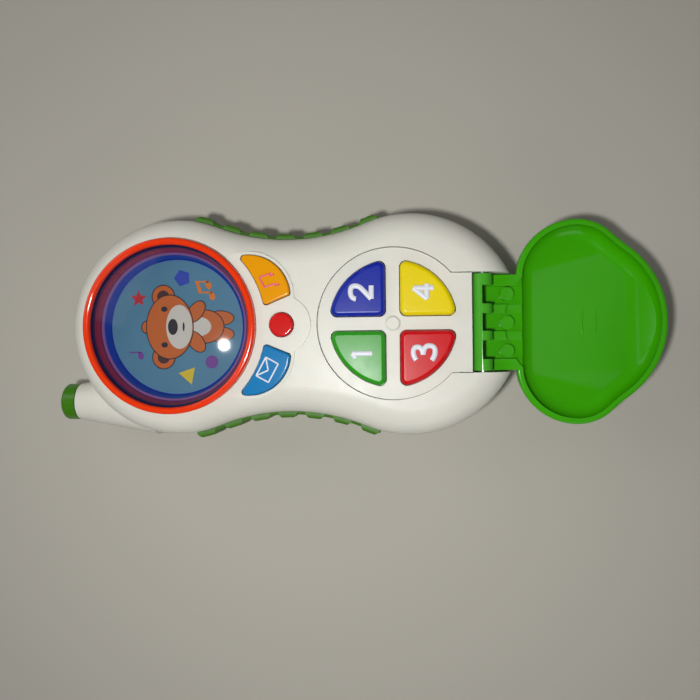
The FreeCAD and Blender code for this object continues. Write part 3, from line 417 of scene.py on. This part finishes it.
def button_icons():
    music = middle("music_button") + Vector((MUSIC_SHIFT, 0, 0))
    message = middle("message_button") + Vector((MESSAGE_SHIFT, 0, 0))
    note = [[(-1.9, -1.9), (-1.9, 2.0)], [(1.7, -1.3), (1.7, 2.7)], [(-1.9, 2.0), (1.7, 2.7)]]
    raised("music_icon", music, note, 0.6, top("music_button"), INK_PINK, "music_cap", MUSIC_TURN)
    for number, (x, y) in enumerate(((-2.5, -2.0), (1.1, -1.4))):
        raised(f"music_icon_head_{number}", music, [[(x - 0.3, y), (x + 0.3, y)]], 1.5, top("music_button"),
               INK_PINK, "music_cap", MUSIC_TURN)
    envelope = [[(-2.8, -1.9), (2.8, -1.9)], [(2.8, -1.9), (2.8, 1.9)], [(2.8, 1.9), (-2.8, 1.9)],
                [(-2.8, 1.9), (-2.8, -1.9)], [(-2.8, 1.9), (0, -0.3)], [(0, -0.3), (2.8, 1.9)]]
    envelope = [[(x * ICON_SCALE, y * ICON_SCALE) for x, y in path] for path in envelope]
    raised("message_icon", message, envelope, 0.5, top("message_button"), INK_WHITE, "message_cap",
           MESSAGE_TURN)


DISH_FLOOR = 1.9 * MM       # height of the dish floor above the lid's underside
MARK_ALONG = 0.62           # share of the lid's length
MARK_BOW, MARK_END, MARK_REACH = 2.5, 1.9, 3.6
MARK_STROKE, MARK_FLAT = 0.7, 0.12


def lid_marks():
    """Two faint curved moulding marks in the middle of the dish floor."""
    low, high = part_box("flip_cover")
    centre = Vector((low.x + (high.x - low.x) * MARK_ALONG, 0, 0))
    floor_z = low.z + DISH_FLOOR
    for side in (-1, 1):
        path = [(-MARK_REACH, side * MARK_END), (0, side * MARK_BOW), (MARK_REACH, side * MARK_END)]
        raised(f"lid_mark_{side + 2}", centre, [path], MARK_STROKE, floor_z, LID, "lid",
               flat=MARK_FLAT)


# ---- surroundings ----

FLOOR_SIZE, FLOOR_DROP = 3, 0.0002          # metres; the drop keeps the floor clear of the toy
FLOOR_COLOUR, FLOOR_ROUGH = (0.50, 0.475, 0.41, 1), 0.8
AMBIENT_COLOUR, AMBIENT_STRENGTH = (0.95, 0.97, 1.0, 1), 0.1


def floor():
    bpy.ops.mesh.primitive_plane_add(size=FLOOR_SIZE, location=(0, 0, -FLOOR_DROP))
    plane = bpy.context.object
    plane.name = "floor"
    material, _, shader = new_material("pale_floor")
    shader.inputs["Base Color"].default_value = FLOOR_COLOUR
    shader.inputs["Roughness"].default_value = FLOOR_ROUGH
    plane.data.materials.append(material)


def area_light(name, place, target, wide, power, shape="SQUARE"):
    data = bpy.data.lights.new(name, "AREA")
    data.shape = shape
    data.size = wide
    data.energy = power
    lamp = bpy.data.objects.new(name, data)
    lamp.location = place
    lamp.rotation_euler = (Vector(target) - Vector(place)).to_track_quat("-Z", "Y").to_euler()
    bpy.context.scene.collection.objects.link(lamp)


def studio():
    world = bpy.data.worlds.new("studio")
    bpy.context.scene.world = world
    world.use_nodes = True
    ambient = world.node_tree.nodes["Background"]
    ambient.inputs["Color"].default_value = AMBIENT_COLOUR
    ambient.inputs["Strength"].default_value = AMBIENT_STRENGTH
    area_light("near_camera", place=(-0.02, -0.034, 0.30), target=(0.01, 0, 0.02), wide=0.022, power=0.54,
               shape="DISK")
    area_light("soft_side", place=(-0.5, 0.25, 0.4), target=(0, 0, 0), wide=0.4, power=0.7)
    area_light("soft_front", place=(0.25, -0.6, 0.35), target=(0, 0, 0), wide=0.4, power=0.6)
    bpy.context.scene.view_settings.view_transform = "Standard"


CAMERA_X, CAMERA_Y, CAMERA_Z = 21.8 * MM, -8.6 * MM, 256 * MM
SENSOR = 36                 # millimetres; the lens is as long as the sensor is wide
CAMERA_LEAN, CAMERA_ROLL = math.radians(5.0), math.radians(-0.61)


def camera():
    data = bpy.data.cameras.new("camera")
    data.lens = SENSOR
    data.sensor_width = SENSOR
    data.clip_start = 0.01
    eye = bpy.data.objects.new("camera", data)
    eye.location = (CAMERA_X, CAMERA_Y, CAMERA_Z)
    eye.rotation_euler = (0, CAMERA_LEAN, CAMERA_ROLL)
    bpy.context.scene.collection.objects.link(eye)
    bpy.context.scene.camera = eye


dress()
card_art()
numerals()
button_icons()
lid_marks()
floor()
studio()
camera()
